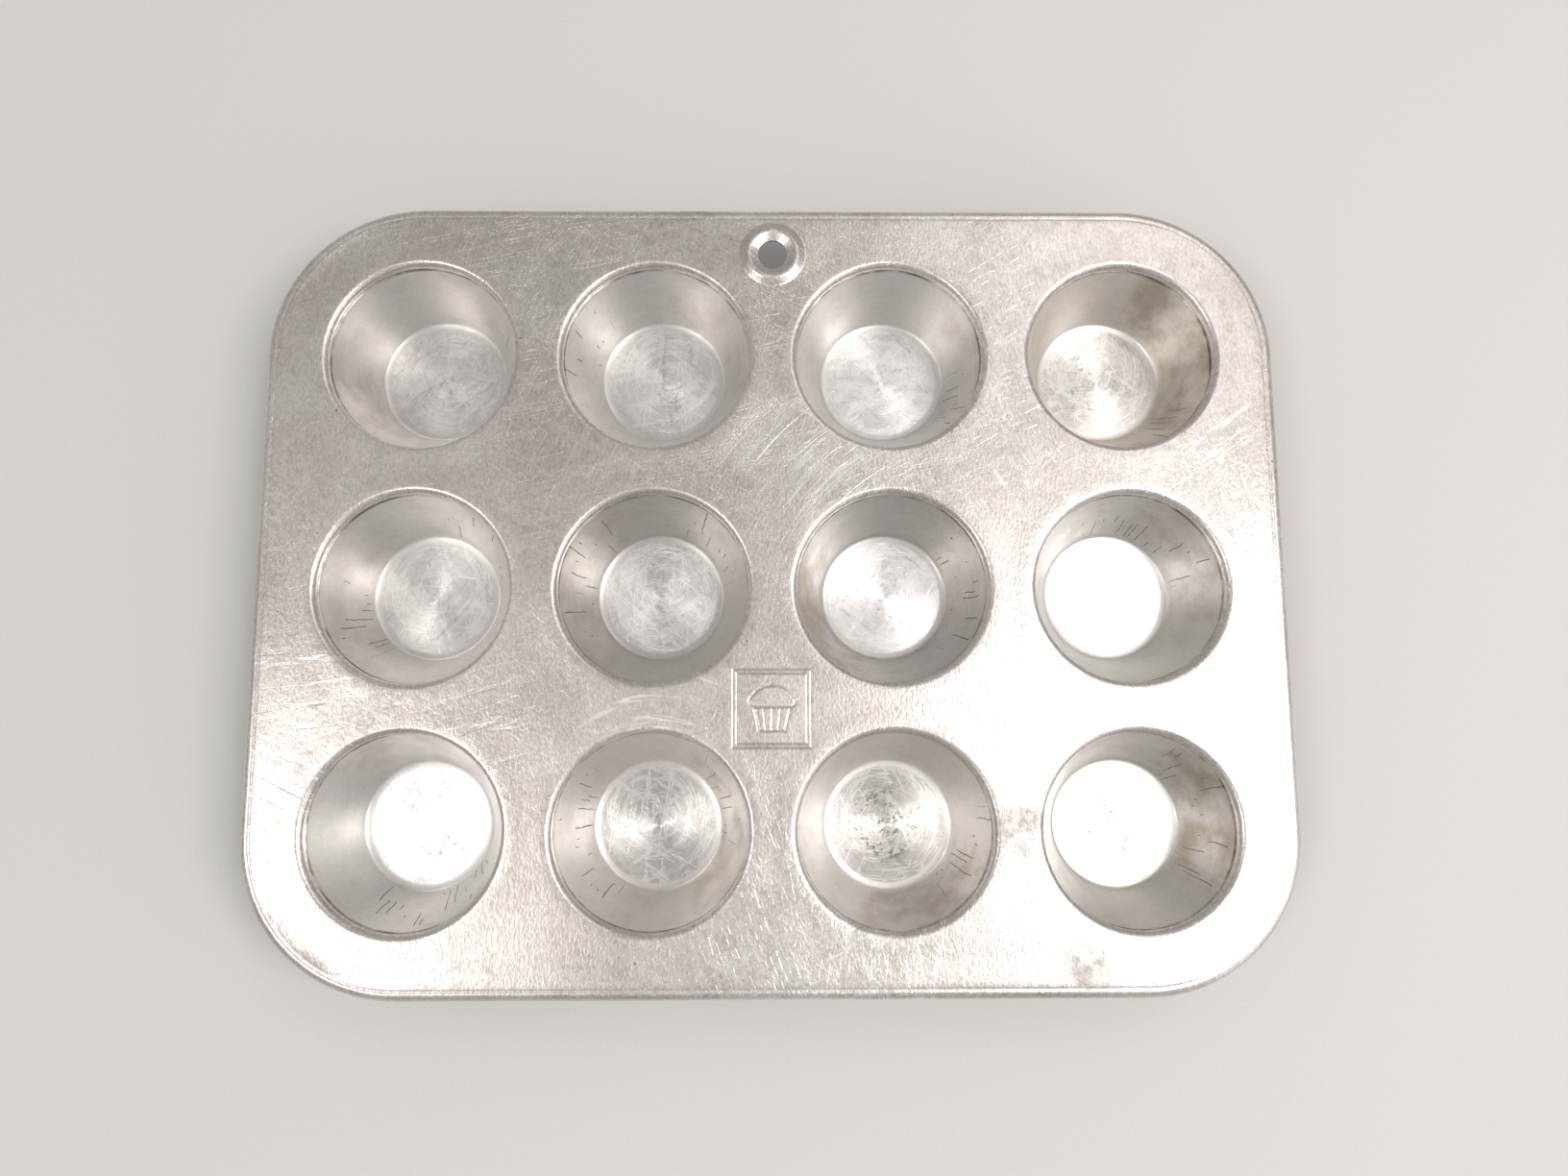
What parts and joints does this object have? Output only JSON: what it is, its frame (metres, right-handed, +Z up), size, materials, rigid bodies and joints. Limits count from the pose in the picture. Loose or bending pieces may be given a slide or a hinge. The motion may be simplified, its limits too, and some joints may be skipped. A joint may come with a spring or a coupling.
{
  "type": "muffin tin",
  "caption": "Shallow rectangular muffin tin: flat sheet frame with a rolled wired edge, round tapered cups in a grid, and a hang hole in a raised ring on one long side.",
  "frame": {"origin": "centre of the footprint, on the plane that the cup floors stand on", "axes": "+X along the long side, +Y towards the long side that has the hang hole, +Z up out of the cup mouths"},
  "size_m": [0.3556, 0.274, 0.0334],
  "materials": {
    "frame_sheet": "worn satin rolled sheet with fine scratches",
    "cup": "drawn satin, floors with circular scratches",
    "rim_wire": "drawn galvanised wire"
  },
  "bodies": {
    "root": {"frame_sheet": "frame_sheet", "rim_wire": "rim_wire", "cup_row1_col1": "cup", "cup_row1_col2": "cup", "cup_row1_col3": "cup", "cup_row1_col4": "cup", "cup_row2_col1": "cup", "cup_row2_col2": "cup", "cup_row2_col3": "cup", "cup_row2_col4": "cup", "cup_row3_col1": "cup", "cup_row3_col2": "cup", "cup_row3_col3": "cup", "cup_row3_col4": "cup"}
  },
  "joints": []
}
